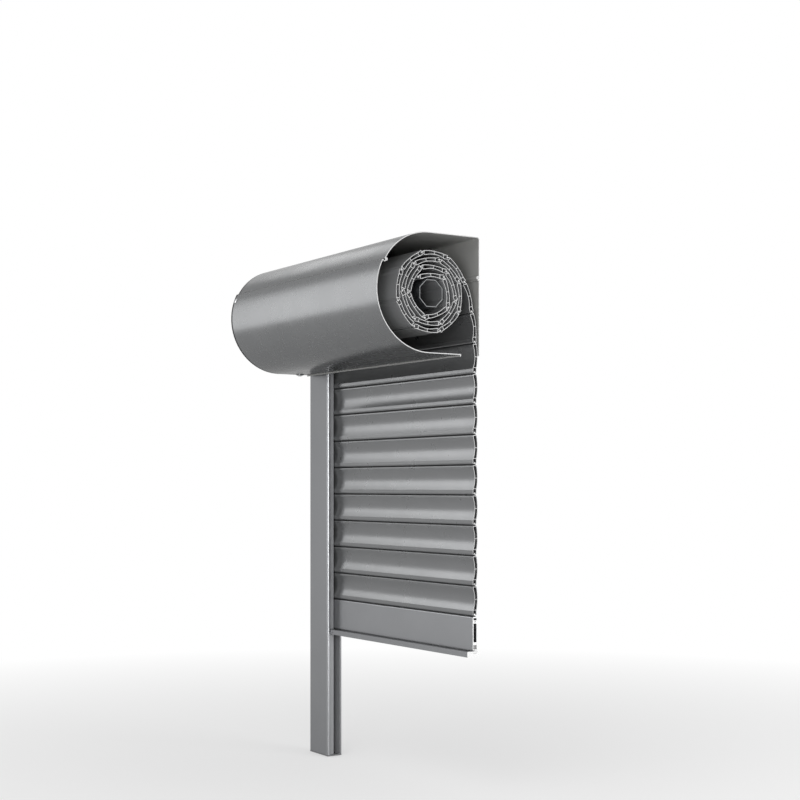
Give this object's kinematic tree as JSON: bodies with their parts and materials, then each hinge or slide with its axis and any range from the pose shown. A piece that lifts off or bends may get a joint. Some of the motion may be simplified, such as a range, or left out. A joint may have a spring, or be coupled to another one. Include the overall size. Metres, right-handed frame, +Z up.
{
  "type": "roller shutter",
  "caption": "Cut-away external roller shutter: rounded aluminium box with swing-open cover, slats coiled on an octagonal shaft, hanging curtain with bottom bar, guide rail.",
  "frame": {"origin": "on the wall plane behind the box, level with the roller's axis, halfway along the box", "axes": "+X along the roller towards the cut face, +Y into the wall, +Z up"},
  "size_m": [0.475, 0.18, 0.8365],
  "materials": {
    "bearing_steel": "polished",
    "black_plastic": "moulded",
    "box_paint": "satin",
    "cap_paint": "satin",
    "galvanised": "galvanised",
    "grey_plastic": "moulded",
    "pin_steel": "turned",
    "rail_paint": "satin",
    "rivet_aluminium": "satin",
    "screw_steel": "stainless",
    "shutter_paint": "satin",
    "spring_steel": "blued"
  },
  "bodies": {
    "housing": {"bearing_outer_ring": "bearing_steel", "end_cap": "cap_paint", "guide_rail": "rail_paint", "inlet_funnel": "grey_plastic", "rail_end_plug": "grey_plastic", "rail_insert_front": "black_plastic", "rail_insert_rear": "black_plastic", "rear_panel": "box_paint", "rear_panel_rivets": "rivet_aluminium", "top_panel": "box_paint", "top_panel_rivets": "rivet_aluminium"},
    "cover": {"cover_screw_front": "screw_steel", "cover_screw_underside": "screw_steel", "front_cover": "box_paint"},
    "roller": {"bearing_inner_ring": "bearing_steel", "hanger_rivets": "rivet_aluminium", "hanger_straps": "spring_steel", "octagonal_shaft": "galvanised", "roller_pin": "pin_steel", "roller_plug": "grey_plastic", "slat_12": "shutter_paint", "slat_13": "shutter_paint", "slat_14": "shutter_paint", "slat_15": "shutter_paint", "slat_16": "shutter_paint", "slat_17": "shutter_paint", "slat_18": "shutter_paint", "slat_19": "shutter_paint", "slat_20": "shutter_paint", "slat_21": "shutter_paint", "slat_22": "shutter_paint", "slat_23": "shutter_paint", "slat_24": "shutter_paint", "slat_25": "shutter_paint", "slat_26": "shutter_paint", "slat_27": "shutter_paint", "slat_28": "shutter_paint", "slat_29": "shutter_paint", "slat_30": "shutter_paint", "slat_31": "shutter_paint", "slat_32": "shutter_paint"},
    "cage": {"bearing_balls": "bearing_steel", "bearing_cage": "pin_steel"},
    "second_free_slat": {"slat_11": "shutter_paint"},
    "third_free_slat": {"slat_10": "shutter_paint"},
    "curtain": {"bottom_bar": "shutter_paint", "bottom_bar_plug": "black_plastic", "slat_01": "shutter_paint", "slat_02": "shutter_paint", "slat_03": "shutter_paint", "slat_04": "shutter_paint", "slat_05": "shutter_paint", "slat_06": "shutter_paint", "slat_07": "shutter_paint", "slat_08": "shutter_paint", "slat_09": "shutter_paint", "slat_end_clips": "black_plastic", "stop_strip": "shutter_paint"}
  },
  "joints": [
    {"name": "roller_turn", "type": "hinge", "parent": "housing", "child": "roller", "pos_m": [0, -0.0865, 0], "axis": [-1, 0, 0], "range_deg": [0, 18.34]},
    {"name": "cage_turn", "type": "hinge", "parent": "housing", "child": "cage", "pos_m": [-0.23, -0.0865, 0], "axis": [-1, 0, 0], "range_deg": [0, 10]},
    {"name": "second_slat_hook", "type": "hinge", "parent": "roller", "child": "second_free_slat", "pos_m": [0, -0.0274, 0.02117], "axis": [-1, 0, 0], "range_deg": [-15, 0]},
    {"name": "third_slat_hook", "type": "hinge", "parent": "second_free_slat", "child": "third_free_slat", "pos_m": [0, -0.01411, -0.02204], "axis": [-1, 0, 0], "range_deg": [-7, 0]},
    {"name": "curtain_travel", "type": "slide", "parent": "housing", "child": "curtain", "axis": [0, 0, -1], "range_m": [0, 0.0205]},
    {"name": "cover_swing", "type": "hinge", "parent": "housing", "child": "cover", "pos_m": [0, -0.16381, 0.04396], "axis": [-1, 0, 0], "range_deg": [0, 60]}
  ],
  "couplings": [
    {"joint": "cage_turn", "follows": "roller_turn", "ratio": 0.4},
    {"joint": "second_slat_hook", "follows": "roller_turn", "ratio": -0.711},
    {"joint": "third_slat_hook", "follows": "roller_turn", "ratio": -0.289},
    {"joint": "curtain_travel", "follows": "roller_turn", "m_per_rad": 0.06271}
  ]
}
